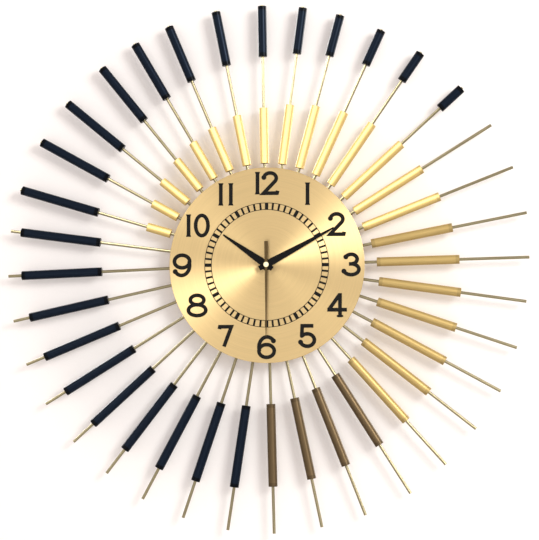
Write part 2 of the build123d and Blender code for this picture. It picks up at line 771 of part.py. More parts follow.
with BuildPart() as threaded_bushing:
    bore = HOUR_PIPE_R + FIT
    round_step(on_wall(COVER_BACK - BUSHING_FLANGE_T), BUSHING_FLANGE_R, BUSHING_FLANGE_T, bore)
    round_step(on_wall(COVER_BACK), BUSHING_R, BUSHING_FRONT - COVER_BACK, bore)
    chamfer(threaded_bushing.edges().group_by(Axis.Y)[0].sort_by(SortBy.LENGTH)[-1], SHARP_EDGE)
write_node(threaded_bushing, "threaded_bushing")

with BuildPart() as rubber_washer:
    round_step(on_wall(BOARD_BACK - RUBBER_T), RUBBER_R, RUBBER_T, BUSHING_R)
write_node(rubber_washer, "rubber_washer")

with BuildPart() as brass_washer:
    round_step(on_wall(DIAL_FRONT), BRASS_R, BRASS_T, BUSHING_R)
write_node(brass_washer, "brass_washer")

with BuildPart() as hex_nut:
    with BuildSketch(on_wall(DIAL_FRONT + BRASS_T)):
        RegularPolygon(NUT_FLATS / 2, 6, major_radius=False)
        Circle(BUSHING_R, mode=Mode.SUBTRACT)
    extrude(amount=NUT_T)
write_node(hex_nut, "hex_nut")

with BuildPart() as train_bridge:
    with BuildSketch(on_wall(BRIDGE_BACK)):
        with Locations(BRIDGE_XY):
            RectangleRounded(*BRIDGE_SIZE, BRIDGE_CORNER_R)
        Circle(MINUTE_PIPE_R + FIT, mode=Mode.SUBTRACT)
        with Locations(intermediate_xy, rotor_xy, third_xy):
            Circle(PIVOT_R + FIT, mode=Mode.SUBTRACT)
        with Locations(motion_xy):
            Circle(MOTION_ARBOR_R + FIT, mode=Mode.SUBTRACT)
    extrude(amount=BRIDGE_T)
write_node(train_bridge, "train_bridge")

# ---------------------------------------------------------------- stepping motor

with BuildPart() as stator:
    with BuildSketch(on_wall(CORE_BACK + CORE_T)):
        for middle, size in STATOR_BARS:
            with Locations(middle):
                Rectangle(*size)
        with Locations(rotor_xy):
            Circle(MAGNET_R + STATOR_GAP, mode=Mode.SUBTRACT)
    extrude(amount=CORE_T)
write_node(stator, "stator")

with BuildPart() as coil_core:
    with BuildSketch(on_wall(CORE_BACK)):
        with Locations((CORE_MIDDLE, COIL_Y)):
            Rectangle(CORE_LENGTH, CORE_WIDTH)
    extrude(amount=CORE_T)
write_node(coil_core, "coil_core")


def coil_plane(x):
    """Plane square to the coil, `x` to the right of the hands' axis."""
    origin = (x, -(CORE_BACK + CORE_T / 2), COIL_Y - HANGER_ABOVE_AXIS)
    return Plane(origin=origin, x_dir=(0, -1, 0), z_dir=(1, 0, 0))


with BuildPart() as coil_bobbin:
    round_step(coil_plane(COIL_LEFT), BOBBIN_R, COIL_LENGTH)
    round_step(coil_plane(COIL_LEFT - FLANGE_T), FLANGE_R, FLANGE_T)
    round_step(coil_plane(COIL_LEFT + COIL_LENGTH), FLANGE_R, FLANGE_T)
    with BuildSketch(coil_plane(COIL_LEFT - FLANGE_T)):
        Rectangle(CORE_T, CORE_WIDTH)
    extrude(amount=COIL_LENGTH + 2 * FLANGE_T, mode=Mode.SUBTRACT)
write_node(coil_bobbin, "coil_bobbin")

with BuildPart() as coil_winding:
    round_step(coil_plane(COIL_LEFT), WINDING_R, COIL_LENGTH, BOBBIN_R)
write_node(coil_winding, "coil_winding")

with BuildPart() as circuit_board:
    with BuildSketch(on_wall(CIRCUIT_BACK)):
        with Locations(CIRCUIT_XY):
            Rectangle(*CIRCUIT_SIZE)
    extrude(amount=CIRCUIT_T)
write_node(circuit_board, "circuit_board")

with BuildPart() as clock_chip:
    with BuildSketch(on_wall(CIRCUIT_BACK + CIRCUIT_T)):
        with Locations((CIRCUIT_XY[0] + CHIP_SHIFT, CIRCUIT_XY[1])):
            Rectangle(*CHIP_SIZE)
    extrude(amount=CHIP_T)
write_node(clock_chip, "clock_chip")

with BuildPart() as quartz_crystal:
    crystal_origin = (
        CIRCUIT_XY[0] + CRYSTAL_SHIFT[0],
        -(CIRCUIT_BACK + CIRCUIT_T + CRYSTAL_R),
        CIRCUIT_XY[1] + CRYSTAL_SHIFT[1] - HANGER_ABOVE_AXIS,
    )
    round_step(Plane(origin=crystal_origin, z_dir=(0, 0, 1)), CRYSTAL_R, CRYSTAL_LENGTH)
write_node(quartz_crystal, "quartz_crystal")

with BuildPart() as rotor:
    rotor_plane = at_shaft(0, rotor_xy)
    pinion = gear_face(ROTOR_TEETH, ROTOR_SPACING, INTERMEDIATE_TEETH,
                       mesh_phase(INTERMEDIATE_TEETH, 0, ROTOR_TEETH, ROTOR_AT))
    round_step(rotor_plane.offset(PIVOT_BACK), PIVOT_R, PIVOT_FRONT - PIVOT_BACK)
    gear_step(rotor_plane.offset(LAYER_INTERMEDIATE - PINION_LEAD), pinion, PINION_T)
    round_step(rotor_plane.offset(MAGNET_BACK), MAGNET_R, MAGNET_T)
write_node(rotor, "rotor")

# ---------------------------------------------------------------- going train

with BuildPart() as intermediate_wheel:
    arbor = at_shaft(0, intermediate_xy)
    wheel = gear_face(INTERMEDIATE_TEETH, ROTOR_SPACING, ROTOR_TEETH)
    pinion = gear_face(INTERMEDIATE_PINION, INTERMEDIATE_SPACING, SECONDS_TEETH,
                       mesh_phase(SECONDS_TEETH, 0, INTERMEDIATE_PINION, INTERMEDIATE_AT))
    round_step(arbor.offset(PIVOT_BACK), PIVOT_R, PIVOT_FRONT - PIVOT_BACK)
    gear_step(arbor.offset(LAYER_INTERMEDIATE), wheel, GEAR_T)
    gear_step(arbor.offset(LAYER_SECONDS - PINION_LEAD), pinion, PINION_T)
write_node(intermediate_wheel, "intermediate_wheel")

with BuildPart() as seconds_wheel:
    wheel = gear_face(SECONDS_TEETH, INTERMEDIATE_SPACING, INTERMEDIATE_PINION)
    pinion = gear_face(SECONDS_PINION, THIRD_SPACING, THIRD_TEETH)
    round_step(on_wall(PIVOT_BACK), SECONDS_ARBOR_R, SECONDS_ARBOR_FRONT - PIVOT_BACK)
    gear_step(on_wall(LAYER_SECONDS), wheel, GEAR_T)
    gear_step(on_wall(LAYER_THIRD - PINION_LEAD), pinion, PINION_T)
write_node(seconds_wheel, "seconds_wheel")

with BuildPart() as third_wheel:
    arbor = at_shaft(0, third_xy)
    wheel = gear_face(THIRD_TEETH, THIRD_SPACING, SECONDS_PINION,
                      mesh_phase(SECONDS_PINION, 0, THIRD_TEETH, THIRD_AT))
    pinion = gear_face(THIRD_PINION, THIRD_SPACING, CENTRE_TEETH)
    round_step(arbor.offset(PIVOT_BACK), PIVOT_R, PIVOT_FRONT - PIVOT_BACK)
    gear_step(arbor.offset(LAYER_THIRD), wheel, GEAR_T)
    gear_step(arbor.offset(LAYER_CENTRE - PINION_LEAD), pinion, PINION_T)
write_node(third_wheel, "third_wheel")

with BuildPart() as centre_wheel:
    wheel = gear_face(CENTRE_TEETH, THIRD_SPACING, THIRD_PINION,
                      mesh_phase(THIRD_PINION, 0, CENTRE_TEETH, THIRD_AT + 180))
    gear_step(on_wall(LAYER_CENTRE), wheel, GEAR_T, MINUTE_PIPE_R + FIT)
write_node(centre_wheel, "centre_wheel")

# ---------------------------------------------------------------- motion work

CANNON_BACK = LAYER_CENTRE - CLUTCH_GAP - CLUTCH_T

with BuildPart() as cannon_pinion:
    bore = SECONDS_ARBOR_R + FIT
    pinion = gear_face(CANNON_TEETH, MOTION_SPACING, MOTION_TEETH)
    round_step(on_wall(CANNON_BACK), MINUTE_PIPE_R, MINUTE_PIPE_FRONT - CANNON_BACK, bore)
    round_step(on_wall(CANNON_BACK), CLUTCH_R, CLUTCH_T, bore)
    gear_step(on_wall(LAYER_MOTION - MOTION_PINION_LEAD), pinion, MOTION_PINION_T, bore)
write_node(cannon_pinion, "cannon_pinion")

with BuildPart() as clutch_spring:
    spring_plane = on_wall(LAYER_CENTRE + GEAR_T + CLUTCH_GAP)
    round_step(spring_plane, CLUTCH_SPRING_R, CLUTCH_SPRING_T, MINUTE_PIPE_R)
write_node(clutch_spring, "clutch_spring")

with BuildPart() as motion_wheel:
    arbor = at_shaft(0, motion_xy)
    wheel = gear_face(MOTION_TEETH, MOTION_SPACING, CANNON_TEETH,
                      mesh_phase(CANNON_TEETH, 0, MOTION_TEETH, MOTION_AT))
    pinion = gear_face(MOTION_PINION, MOTION_SPACING, HOUR_TEETH)
    round_step(arbor.offset(KNOB_BACK + KNOB_T), MOTION_ARBOR_R, LAYER_HOUR - KNOB_BACK - KNOB_T)
    gear_step(arbor.offset(LAYER_MOTION), wheel, GEAR_T)
    gear_step(arbor.offset(LAYER_HOUR - MOTION_PINION_LEAD), pinion, MOTION_PINION_T)
write_node(motion_wheel, "motion_wheel")

with BuildPart() as setting_knob:
    with BuildSketch(at_shaft(KNOB_BACK, motion_xy)):
        Circle(SETTING_KNOB_R)
        with PolarLocations(SETTING_KNOB_R + KNURL_OUT, KNURL_COUNT):
            Circle(KNURL_R, mode=Mode.SUBTRACT)
    extrude(amount=KNOB_T)
write_node(setting_knob, "setting_knob")

with BuildPart() as hour_wheel:
    bore = MINUTE_PIPE_R + FIT
    wheel = gear_face(HOUR_TEETH, MOTION_SPACING, MOTION_PINION,
                      mesh_phase(MOTION_PINION, 0, HOUR_TEETH, MOTION_AT + 180))
    gear_step(on_wall(LAYER_HOUR), wheel, GEAR_T, bore)
    round_step(on_wall(LAYER_HOUR), HOUR_PIPE_R, HOUR_PIPE_FRONT - LAYER_HOUR, bore)
write_node(hour_wheel, "hour_wheel")

# ---------------------------------------------------------------- battery and its contacts

battery_depth = COVER_BACK - CONTACT_GAP - BATTERY_R
battery_left = case_inside / 2 - CONTACT_T - CONTACT_GAP - BATTERY_NUB - BATTERY_LENGTH


def battery_plane(x):
    """Plane square to the battery, `x` to the right of the hands' axis."""
    origin = (x, -battery_depth, battery_y - HANGER_ABOVE_AXIS)
    return Plane(origin=origin, x_dir=(0, -1, 0), z_dir=(1, 0, 0))


with BuildPart() as battery:
    round_step(battery_plane(battery_left), BATTERY_R, BATTERY_LENGTH)
    fillet(battery.edges().filter_by(GeomType.CIRCLE), BATTERY_EDGE)
    round_step(battery_plane(battery_left + BATTERY_LENGTH), BATTERY_NUB_R, BATTERY_NUB)
write_node(battery, "battery")

with BuildPart() as contact_positive:
    with BuildSketch(battery_plane(case_inside / 2 - CONTACT_T)):
        Rectangle(*CONTACT_SIZE)
    extrude(amount=CONTACT_T)
write_node(contact_positive, "contact_positive")

with BuildPart() as contact_negative:
    with BuildSketch(battery_plane(-case_inside / 2)):
        Rectangle(*CONTACT_SIZE)
    extrude(amount=CONTACT_T)
    bump = battery_left - CONTACT_GAP + case_inside / 2 - CONTACT_T
    round_step(battery_plane(-case_inside / 2 + CONTACT_T), CONTACT_BUMP_R, bump)
    chamfer(contact_negative.edges().group_by(Axis.X)[-1], 0.6 * bump)
write_node(contact_negative, "contact_negative")

# ---------------------------------------------------------------- hands


def hand(angle, depth, bore, hub_r, root, tip, tail):
    """Add a flat hand to the piece being built: a tapering blade, a hub and a tail.

    `root`, `tip` and `tail` are (half width, distance from the axis).
    """
    with BuildSketch(clock_plane(angle, depth)) as outline:
        with BuildLine():
            Polyline(
                (-tail[0], -tail[1]),
                (tail[0], -tail[1]),
                (root[0], root[1]),
                (tip[0], tip[1]),
                (-tip[0], tip[1]),
                (-root[0], root[1]),
                close=True,
            )
        make_face()
        Circle(hub_r)
        Circle(bore, mode=Mode.SUBTRACT)
    extrude(outline.sketch, amount=HAND_T)


with BuildPart() as hour_hand:
    hand(HOUR_HAND_AT, HOUR_HAND_BACK, HOUR_PIPE_R, HAND_HUB_R, *HOUR_HAND_SHAPE)
write_node(hour_hand, "hour_hand")

with BuildPart() as minute_hand:
    hand(MINUTE_HAND_AT, MINUTE_HAND_BACK, MINUTE_PIPE_R, HAND_HUB_R, *MINUTE_HAND_SHAPE)
write_node(minute_hand, "minute_hand")

with BuildPart() as second_hand:
    hand(SECOND_HAND_AT, SECOND_HAND_BACK, SECONDS_ARBOR_R, SECOND_HUB_R, *SECOND_HAND_SHAPE)
write_node(second_hand, "second_hand")

with BuildPart() as second_cap:
    round_step(on_wall(SECOND_HAND_BACK + HAND_T), CAP_R, CAP_T)
    fillet(second_cap.edges().group_by(Axis.Y)[0], CAP_EDGE)
    cap_hole = SECONDS_ARBOR_FRONT - SECOND_HAND_BACK - HAND_T
    round_step(on_wall(SECOND_HAND_BACK + HAND_T), SECONDS_ARBOR_R, cap_hole, mode=Mode.SUBTRACT)
write_node(second_cap, "second_cap")
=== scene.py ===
"""Looks of the sunburst wall clock: materials, wall, floor, lights and camera."""

import json
from math import cos, radians, sin, tau

import bpy
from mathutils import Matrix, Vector


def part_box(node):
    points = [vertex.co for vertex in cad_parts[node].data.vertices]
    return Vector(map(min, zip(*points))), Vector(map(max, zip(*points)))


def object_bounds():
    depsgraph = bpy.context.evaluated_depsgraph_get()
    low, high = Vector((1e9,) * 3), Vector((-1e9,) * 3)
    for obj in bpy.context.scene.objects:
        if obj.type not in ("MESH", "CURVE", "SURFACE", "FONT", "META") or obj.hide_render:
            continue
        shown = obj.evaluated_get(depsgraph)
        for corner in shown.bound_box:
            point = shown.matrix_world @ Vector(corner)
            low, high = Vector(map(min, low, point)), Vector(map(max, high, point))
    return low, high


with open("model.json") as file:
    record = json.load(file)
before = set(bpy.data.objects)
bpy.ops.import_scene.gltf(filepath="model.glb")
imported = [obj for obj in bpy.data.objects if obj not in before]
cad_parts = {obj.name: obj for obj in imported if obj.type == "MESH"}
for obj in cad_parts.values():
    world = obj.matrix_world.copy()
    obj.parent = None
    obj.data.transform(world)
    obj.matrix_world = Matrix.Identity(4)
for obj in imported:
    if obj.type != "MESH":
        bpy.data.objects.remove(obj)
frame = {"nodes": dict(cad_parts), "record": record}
cad_low, cad_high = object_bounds()

# ---------------------------------------------------------------- places

dial_low, dial_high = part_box("dial_plate")
CENTRE = (dial_low + dial_high) / 2  # the hands' axis, in the thickness of the dial
MM = 0.001

# The spiral of sleeves, as in the CAD: places are counted clockwise over more than one turn
FIRST_SPOKE = radians(8.5)
SPOKE_STEP = radians(10)
SPOKES = 36
LAST_EARLY_SPOKE = 4  # up to here a spoke's outer sleeve belongs to the second turn
SLEEVE_LENGTH = 109 * MM
SLOW_PLACE, SLOW_INNER, SLOW_STEP = 5, 133 * MM, 4.27 * MM
FAST_PLACE, FAST_INNER, FAST_STEP = 28, 239 * MM, 5.9 * MM
OUTER_LIMIT = 348.5 * MM
CAP_AND_SHADE_BAND = 5 * MM  # darker band at each end of a sleeve: dark caps on the navy sleeves, painted shade at the gold sleeves' ends

WIRE_PITCH = 0.18 * MM  # from turn to turn of the coil

# How deep the finest relief of each finish is
FLAKE_DEPTH = 0.006 * MM
METAL_GRAIN_DEPTH = 0.03 * MM
MOULDED_GRAIN_DEPTH = 0.04 * MM
SATIN_GRAIN_DEPTH = 0.01 * MM
FIBRE_DEPTH = 0.08 * MM
WIRE_DEPTH = 0.04 * MM


def linear(red, green, blue):
    """A colour given in display values from 0 to 255, as the linear values that shaders take."""
    steps = [value / 255 for value in (red, green, blue)]
    return [s / 12.92 if s <= 0.04045 else ((s + 0.055) / 1.055) ** 2.4 for s in steps] + [1.0]


# ---------------------------------------------------------------- node helpers


class Nodes:
    """A material's node tree, with one short call for each kind of node."""

    def __init__(self, name):
        self.material = bpy.data.materials.new(name)
        self.material.use_nodes = True
        self.tree = self.material.node_tree
        self.tree.nodes.clear()
        self.shader = self.add("ShaderNodeBsdfPrincipled")
        output = self.add("ShaderNodeOutputMaterial")
        self.link(self.shader.outputs[0], output.inputs["Surface"])

    def add(self, kind, **settings):
        node = self.tree.nodes.new(kind)
        for key, value in settings.items():
            setattr(node, key, value)
        return node

    def link(self, source, target):
        self.tree.links.new(source, target)

    def put(self, target, value):
        """Link a socket, or set a plain value."""
        if isinstance(value, bpy.types.NodeSocket):
            self.link(value, target)
        else:
            target.default_value = value

    def math(self, operation, *values):
        node = self.add("ShaderNodeMath", operation=operation)
        for target, value in zip(node.inputs, values):
            self.put(target, value)
        return node.outputs[0]

    def times(self, value, factor):
        return self.math("MULTIPLY", value, factor)

    def vector(self, x, y, z):
        node = self.add("ShaderNodeCombineXYZ")
        for target, value in zip(node.inputs, (x, y, z)):
            self.put(target, value)
        return node.outputs[0]

    def place(self):
        """x, y and z of a point of the object at rest, in metres, from the hands' axis."""
        coordinate = self.add("ShaderNodeTexCoord")
        shift = self.add("ShaderNodeVectorMath", operation="SUBTRACT")
        self.link(coordinate.outputs["Object"], shift.inputs[0])
        shift.inputs[1].default_value = CENTRE
        split = self.add("ShaderNodeSeparateXYZ")
        self.link(shift.outputs[0], split.inputs[0])
        return split.outputs

    def polar(self):
        """Angle round the hands' axis in radians, distance from it and depth, in metres."""
        x, y, z = self.place()
        angle = self.math("ARCTAN2", x, z)
        distance = self.math("SQRT", self.math("ADD", self.times(x, x), self.times(z, z)))
        return angle, distance, y

    def noise(self, where, scale, detail=3.0, roughness=0.55):
        node = self.add("ShaderNodeTexNoise")
        self.link(where, node.inputs["Vector"])
        node.inputs["Scale"].default_value = scale
        node.inputs["Detail"].default_value = detail
        node.inputs["Roughness"].default_value = roughness
        return node.outputs["Fac"]

    def span(self, value, low, high, source_low=0.3, source_high=0.7):
        """Map a noise value onto the span from low to high."""
        node = self.add("ShaderNodeMapRange")
        self.link(value, node.inputs["Value"])
        node.inputs["From Min"].default_value = source_low
        node.inputs["From Max"].default_value = source_high
        node.inputs["To Min"].default_value = low
        node.inputs["To Max"].default_value = high
        return node.outputs["Result"]

    def ramp(self, value, *stops):
        """Colours along a value: each stop is (position, colour)."""
        node = self.add("ShaderNodeValToRGB")
        elements = node.color_ramp.elements
        while len(elements) < len(stops):
            elements.new(0.5)
        for element, (position, colour) in zip(elements, stops):
            element.position = position
            element.color = colour
        self.link(value, node.inputs["Fac"])
        return node.outputs["Color"]

    def bump(self, height, depth, strength=1.0):
        node = self.add("ShaderNodeBump")
        node.inputs["Strength"].default_value = strength
        node.inputs["Distance"].default_value = depth
        self.link(height, node.inputs["Height"])
        self.link(node.outputs["Normal"], self.shader.inputs["Normal"])

    def set(self, **values):
        """Set shader sockets by name, with underscores for spaces."""
        for key, value in values.items():
            self.put(self.shader.inputs[key.replace("_", " ")], value)


def shaded(colour, factor):
    """A colour made lighter or darker."""
    return [min(channel * factor, 1.0) for channel in colour[:3]] + [1.0]


# ---------------------------------------------------------------- materials


def brushed_dial(name):
    """Gold sheet brushed in fine circles, so that light gathers in wedges."""
    nodes = Nodes(name)
    angle, distance, _ = nodes.polar()
    rings = nodes.noise(nodes.vector(nodes.times(distance, 2600), nodes.times(angle, 1.2), 0.0), 1.0)
    broad = nodes.noise(nodes.vector(nodes.times(distance, 300), nodes.times(angle, 0.5), 3.0), 1.0)
    tone = nodes.math("ADD", nodes.times(rings, 0.7), nodes.times(broad, 0.3))
    gold = linear(215, 190, 138)
    nodes.set(
        Base_Color=nodes.ramp(tone, (0.3, shaded(gold, 0.9)), (0.5, gold), (0.7, shaded(gold, 1.08))),
        Metallic=1.0,
        Roughness=nodes.span(rings, 0.40, 0.48),
        Anisotropic=0.85,
        Anisotropic_Rotation=0.25,
    )
    tangent = nodes.add("ShaderNodeTangent", direction_type="RADIAL", axis="Y")
    nodes.link(tangent.outputs[0], nodes.shader.inputs["Tangent"])
    return nodes.material


def sleeve_caps_and_shade(nodes, first, last):
    """1 at both ends of the sleeves from one place of the spiral to another, and 0 elsewhere: the ends
    that get dark caps or painted shade.

    Up to nine o'clock the spiral opens slowly, and after it faster.
    """
    angle, distance, _ = nodes.polar()
    turned = nodes.math("DIVIDE", nodes.math("SUBTRACT", angle, FIRST_SPOKE), SPOKE_STEP)
    spoke = nodes.math("ROUND", turned)
    second_turn = nodes.math("LESS_THAN", spoke, LAST_EARLY_SPOKE + 0.5)
    place = nodes.math("ADD", spoke, nodes.times(second_turn, SPOKES))
    slow = nodes.math("ADD", nodes.times(place, SLOW_STEP), SLOW_INNER - SLOW_STEP * SLOW_PLACE)
    fast = nodes.math("ADD", nodes.times(place, FAST_STEP), FAST_INNER - FAST_STEP * FAST_PLACE)
    is_fast = nodes.math("GREATER_THAN", place, FAST_PLACE - 0.5)
    inner = nodes.math("MAXIMUM", slow, nodes.times(fast, is_fast))
    outer = nodes.math("MINIMUM", nodes.math("ADD", inner, SLEEVE_LENGTH), OUTER_LIMIT)
    near_inner = nodes.math("LESS_THAN", distance, nodes.math("ADD", inner, CAP_AND_SHADE_BAND))
    near_outer = nodes.math("GREATER_THAN", distance, nodes.math("SUBTRACT", outer, CAP_AND_SHADE_BAND))
    from_first = nodes.math("GREATER_THAN", place, first - 0.5)
    to_last = nodes.math("LESS_THAN", place, last + 0.5)
    counted = nodes.times(from_first, to_last)
    return nodes.times(nodes.math("MAXIMUM", near_inner, near_outer), counted)


def metal_paint(name, colour, metallic, roughness, caps_and_shade=None, cap_and_shade_tone=1.0, specular=0.5):
    """Lacquered metal: fine flake, faint flow along the tube and a little uneven gloss.

    The argument for the ends gives the first and last place of the sleeves whose ends are darker, and
    the tone argument gives how dark: dark caps on the navy sleeves, painted shade at the gold sleeves'
    ends.
    """
    nodes = Nodes(name)
    angle, distance, depth = nodes.polar()
    flow = nodes.vector(nodes.times(angle, 260), nodes.times(distance, 25), nodes.times(depth, 900))
    streak = nodes.noise(flow, 1.0)
    x, y, z = nodes.place()
    flake = nodes.noise(nodes.vector(x, y, z), 3800, detail=1.0)
    tone = nodes.math("ADD", nodes.times(streak, 0.6), nodes.times(flake, 0.4))
    paint = nodes.ramp(tone, (0.3, shaded(colour, 0.84)), (0.5, colour), (0.7, shaded(colour, 1.16)))
    # sleeve ends darkened: dark caps on the navy sleeves, painted shade at the ends of the gold
    # sleeves
    if caps_and_shade:
        cap_and_shade_colour = shaded(colour, cap_and_shade_tone)
        cap_and_shade_paint = nodes.ramp(tone, (0.3, shaded(cap_and_shade_colour, 0.9)), (0.7, shaded(cap_and_shade_colour, 1.1)))
        both = nodes.add("ShaderNodeMix", data_type="RGBA", blend_type="MIX")
        nodes.link(sleeve_caps_and_shade(nodes, *caps_and_shade), both.inputs["Factor"])
        nodes.link(paint, both.inputs["A"])
        nodes.link(cap_and_shade_paint, both.inputs["B"])
        paint = both.outputs["Result"]
    nodes.set(
        Base_Color=paint,
        Metallic=metallic,
        Roughness=nodes.span(streak, roughness - 0.05, roughness + 0.06),
        Specular_IOR_Level=specular,
    )
    nodes.bump(flake, FLAKE_DEPTH, 0.3)
    return nodes.material


def plain_metal(name, colour, roughness, grain=1500):
    """Bare or plated metal with a fine directionless grain."""
    nodes = Nodes(name)
    x, y, z = nodes.place()
    grain_noise = nodes.noise(nodes.vector(x, y, z), grain, detail=4.0)
    nodes.set(
        Base_Color=nodes.ramp(grain_noise, (0.3, shaded(colour, 0.85)), (0.7, shaded(colour, 1.1))),
        Metallic=1.0,
        Roughness=nodes.span(grain_noise, roughness - 0.06, roughness + 0.08),
    )
    nodes.bump(grain_noise, METAL_GRAIN_DEPTH, 0.5)
    return nodes.material


def plastic(name, colour, roughness, grain=1200, depth=MOULDED_GRAIN_DEPTH, specular=0.5):
    """Moulded plastic, rubber or ink with a fine spark-eroded grain."""
    nodes = Nodes(name)
    x, y, z = nodes.place()
    grain_noise = nodes.noise(nodes.vector(x, y, z), grain, detail=2.0)
    broad = nodes.noise(nodes.vector(x, y, z), 40, detail=2.0)
    nodes.set(
        Base_Color=nodes.ramp(broad, (0.3, shaded(colour, 0.85)), (0.7, shaded(colour, 1.15))),
        Roughness=nodes.span(grain_noise, roughness - 0.08, roughness + 0.08),
        Specular_IOR_Level=specular,
    )
    nodes.bump(grain_noise, depth, 0.5)
    return nodes.material


def fibreboard(name):
    """Medium-density board: short fibres and darker flecks."""
    nodes = Nodes(name)
    x, y, z = nodes.place()
    fibre = nodes.noise(nodes.vector(nodes.times(x, 0.5), y, z), 900, detail=6.0, roughness=0.7)
    nodes.set(
        Base_Color=nodes.ramp(
            fibre,
            (0.32, linear(104, 76, 48)),
            (0.5, linear(166, 130, 90)),
            (0.68, linear(196, 164, 122)),
        ),
        Roughness=0.85,
    )
    nodes.bump(fibre, FIBRE_DEPTH, 0.6)
    return nodes.material


def copper_coil(name):
    """Turns of fine enamelled wire, side by side along the coil, painted darker in the grooves between
    turns and lighter on their crests: painted shade and painted highlight.
    """
    nodes = Nodes(name)
    x, _, _ = nodes.place()
    turns = nodes.math("SINE", nodes.times(x, tau / WIRE_PITCH))
    painted_turn_light = nodes.span(turns, 0, 1, -1, 1)
    nodes.set(
        # painted shade in the grooves between turns and a painted highlight on each turn's crest
        Base_Color=nodes.ramp(painted_turn_light, (0.2, linear(96, 44, 20)), (0.8, linear(206, 118, 66))),
        Metallic=1.0,
        Roughness=0.32,
    )
    nodes.bump(turns, WIRE_DEPTH)
    return nodes.material


def battery_label(name):
    """Cell sleeve: a dark green body, a gold band towards the raised end, bare steel ends."""
    nodes = Nodes(name)
    low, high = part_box("battery")
    x, y, z = nodes.place()
    along = nodes.span(x, 0, 1, low.x - CENTRE.x, high.x - CENTRE.x)
    steel, green, gold = linear(190, 190, 188), linear(28, 66, 48), linear(205, 170, 92)
    colours = nodes.ramp(along, (0.0, steel), (0.02, green), (0.72, gold), (0.965, steel))
    colours.node.color_ramp.interpolation = "CONSTANT"
    scuff = nodes.noise(nodes.vector(x, y, z), 700)
    nodes.set(Base_Color=colours, Metallic=0.35, Roughness=nodes.span(scuff, 0.25, 0.4))
    return nodes.material


def ink(name):
    """Screen-printed black, very slightly uneven."""
    nodes = Nodes(name)
    x, y, z = nodes.place()
    mottle = nodes.noise(nodes.vector(x, y, z), 900, detail=2.0)
    nodes.set(
        Base_Color=nodes.ramp(mottle, (0.3, linear(8, 8, 7)), (0.7, linear(20, 19, 16))),
        Roughness=nodes.span(mottle, 0.42, 0.55),
        Specular_IOR_Level=0.12,
    )
    return nodes.material


MATERIALS = {
    "brushed_gold": brushed_dial("brushed_gold"),
    "rod_gold": metal_paint("rod_gold", linear(140, 132, 104), metallic=1.0, roughness=0.32),
    "frame_gold": metal_paint("frame_gold", linear(176, 150, 98), metallic=0.9, roughness=0.38),
    "sleeve_gold": metal_paint(
        "sleeve_gold",
        linear(172, 148, 92),
        metallic=0.6,
        roughness=0.45,
        # painted shade at both ends of the gold sleeves
        caps_and_shade=(5, 13),
        cap_and_shade_tone=0.8,
    ),
    "sleeve_bronze": metal_paint(
        "sleeve_bronze",
        linear(92, 76, 52),
        metallic=0.8,
        roughness=0.44,
        # darker band at both ends of the bronze sleeves
        caps_and_shade=(14, 17),
        cap_and_shade_tone=0.75,
    ),
    "sleeve_navy": metal_paint(
        "sleeve_navy",
        linear(13, 23, 36),
        metallic=0.45,
        roughness=0.36,
        # dark caps at both ends of the navy sleeves
        caps_and_shade=(18, 40),
        cap_and_shade_tone=0.2,
        specular=0.12,
    ),
    "zinc_steel": plain_metal("zinc_steel", linear(190, 192, 196), roughness=0.3),
    "bumper_rubber": plastic("bumper_rubber", linear(28, 28, 28), roughness=0.75),
    "dial_board": fibreboard("dial_board"),
    "black_ink": ink("black_ink"),
    "black_plastic": plastic("black_plastic", linear(30, 30, 32), roughness=0.5),
    "bright_brass": plain_metal("bright_brass", linear(214, 178, 96), roughness=0.22),
    "gear_plastic": plastic("gear_plastic", linear(228, 224, 208), roughness=0.42),
    "motor_steel": plain_metal("motor_steel", linear(150, 150, 152), roughness=0.34),
    "bobbin_plastic": plastic("bobbin_plastic", linear(40, 74, 140), roughness=0.45),
    "copper_wire": copper_coil("copper_wire"),
    "circuit_green": plastic("circuit_green", linear(22, 92, 52), roughness=0.35, grain=2600),
    "chip_black": plastic("chip_black", linear(18, 18, 19), roughness=0.28),
    "crystal_can": plain_metal("crystal_can", linear(206, 206, 208), roughness=0.2),
    "magnet": plain_metal("magnet", linear(84, 84, 90), roughness=0.45),
    "spring_steel": plain_metal("spring_steel", linear(196, 196, 198), roughness=0.28),
    "battery_wrap": battery_label("battery_wrap"),
    "black_hands": plastic(
        "black_hands",
        linear(8, 8, 8),
        roughness=0.5,
        grain=2200,
        depth=SATIN_GRAIN_DEPTH,
        specular=0.1,
    ),
    "dark_gold_hand": metal_paint(
        "dark_gold_hand", linear(86, 70, 42), metallic=0.8, roughness=0.40
    ),
    "cream_cap": plastic(
        "cream_cap",
        linear(226, 216, 176),
        roughness=0.3,
        grain=300,
        depth=SATIN_GRAIN_DEPTH,
    ),
}

for subpart in frame["record"]["subparts"]:
    piece = frame["nodes"][subpart["node"]]
    piece.data.materials.clear()
    piece.data.materials.append(MATERIALS[subpart["material_slot"]])

# ---------------------------------------------------------------- wall and floor


def sheet(name, corners, material):
    """A flat staged panel through four corners, anticlockwise from its face."""
    mesh = bpy.data.meshes.new(name)
    mesh.from_pydata(corners, [], [(0, 1, 2, 3)])
    panel = bpy.data.objects.new(name, mesh)
    bpy.context.scene.collection.objects.link(panel)
    mesh.materials.append(material)


